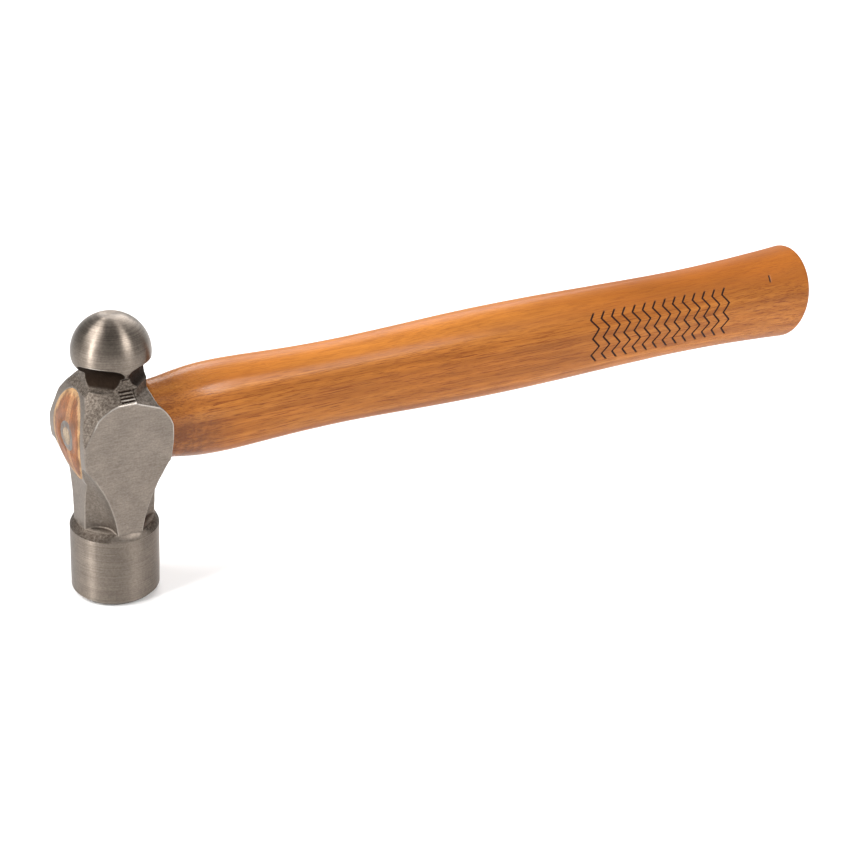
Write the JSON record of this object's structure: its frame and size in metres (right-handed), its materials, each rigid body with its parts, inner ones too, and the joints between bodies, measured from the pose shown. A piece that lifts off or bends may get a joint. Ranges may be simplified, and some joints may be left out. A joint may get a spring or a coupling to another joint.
{
  "type": "ball peen hammer",
  "caption": "Hand hammer with a round flat striking face, an oval-eyed boss and a ball peen, on a shaped hickory handle held by a wooden wedge and a steel ring wedge.",
  "frame": {"origin": "centre of the striking face", "axes": "+Z from the striking face up the head to the ball; +X from the head along the handle to its butt; the flat cheeks face -Y and +Y"},
  "size_m": [0.3311, 0.0318, 0.1016],
  "materials": {
    "forged_steel": "forged, ground on the cheeks and the boss ends, turned and brushed on the poll and ball",
    "hickory": "hickory, stained orange brown and lacquered",
    "wedge_wood": "bare hardwood",
    "ring_steel": "dull mild steel"
  },
  "bodies": {
    "root": {"head": "forged_steel", "handle": "hickory", "wooden_wedge": "wedge_wood", "ring_wedge": "ring_steel"}
  },
  "joints": []
}
